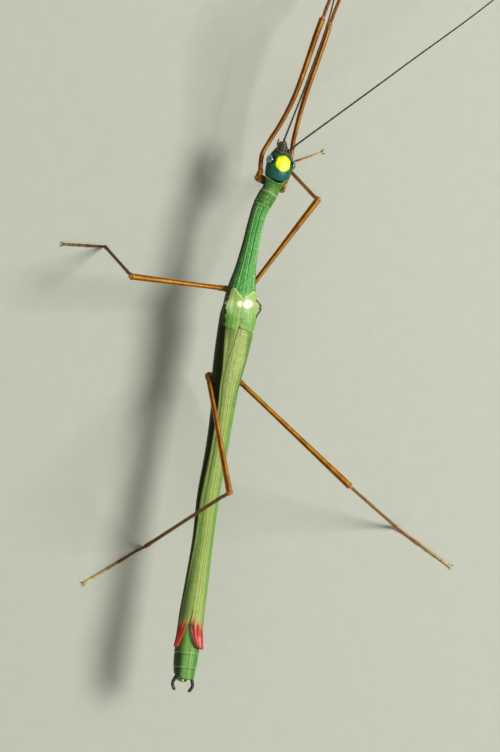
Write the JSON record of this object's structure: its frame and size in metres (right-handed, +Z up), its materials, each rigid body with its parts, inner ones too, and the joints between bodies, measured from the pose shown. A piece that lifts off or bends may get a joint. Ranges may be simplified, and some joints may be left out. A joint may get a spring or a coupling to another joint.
{
  "type": "stick insect",
  "caption": "Life-size winged stick insect, standing with its feelers and fore legs stretched forwards, its wings folded over a long slim body.",
  "frame": {"origin": "on the floor, under the middle of the model's bounding box", "axes": "-Y towards the head, +X towards the insect's left side, +Z up; it stands on Z = 0"},
  "size_m": [0.0572, 0.1156, 0.0191],
  "materials": {
    "head_blue_green": "glossy cuticle, blue green",
    "thorax_green": "finely grained glossy cuticle, bright green",
    "collar_green": "satin cuticle, yellow green",
    "tegmen_green": "leathery fore wing, grey green",
    "wing_green": "net-veined membrane, pale green with crimson tips",
    "abdomen_green": "satin cuticle, green",
    "leg_orange": "satin cuticle, orange brown",
    "feeler_brown": "matt cuticle, dark brown",
    "eye_blue": "polished, pale blue grey",
    "mouth_brown": "satin cuticle, dark olive",
    "cercus_black": "satin cuticle, black"
  },
  "bodies": {
    "root": {"abdomen_front": "abdomen_green", "abdomen_middle": "abdomen_green", "abdomen_rear": "abdomen_green", "cercus_left": "cercus_black", "cercus_right": "cercus_black", "coxa_fore_left": "leg_orange", "coxa_fore_right": "leg_orange", "coxa_hind_left": "leg_orange", "coxa_hind_right": "leg_orange", "coxa_mid_left": "leg_orange", "coxa_mid_right": "leg_orange", "eye_left": "eye_blue", "eye_right": "eye_blue", "feeler_base_left": "feeler_brown", "feeler_base_right": "feeler_brown", "feeler_far_left": "feeler_brown", "feeler_far_right": "feeler_brown", "feeler_near_left": "feeler_brown", "feeler_near_right": "feeler_brown", "femur_fore_left": "leg_orange", "femur_fore_right": "leg_orange", "femur_hind_left": "leg_orange", "femur_hind_right": "leg_orange", "femur_mid_left": "leg_orange", "femur_mid_right": "leg_orange", "head": "head_blue_green", "mesothorax": "thorax_green", "metathorax": "thorax_green", "mouthparts": "mouth_brown", "prothorax": "collar_green", "segment_10": "abdomen_green", "segment_8": "abdomen_green", "segment_9": "abdomen_green", "tarsus_fore_left": "feeler_brown", "tarsus_fore_right": "feeler_brown", "tarsus_hind_left": "feeler_brown", "tarsus_hind_right": "feeler_brown", "tarsus_mid_left": "feeler_brown", "tarsus_mid_right": "feeler_brown", "tegmen_left": "tegmen_green", "tegmen_right": "tegmen_green", "tibia_fore_left": "leg_orange", "tibia_fore_right": "leg_orange", "tibia_hind_left": "leg_orange", "tibia_hind_right": "leg_orange", "tibia_mid_left": "leg_orange", "tibia_mid_right": "leg_orange", "wing_left": "wing_green", "wing_right": "wing_green"}
  },
  "joints": []
}
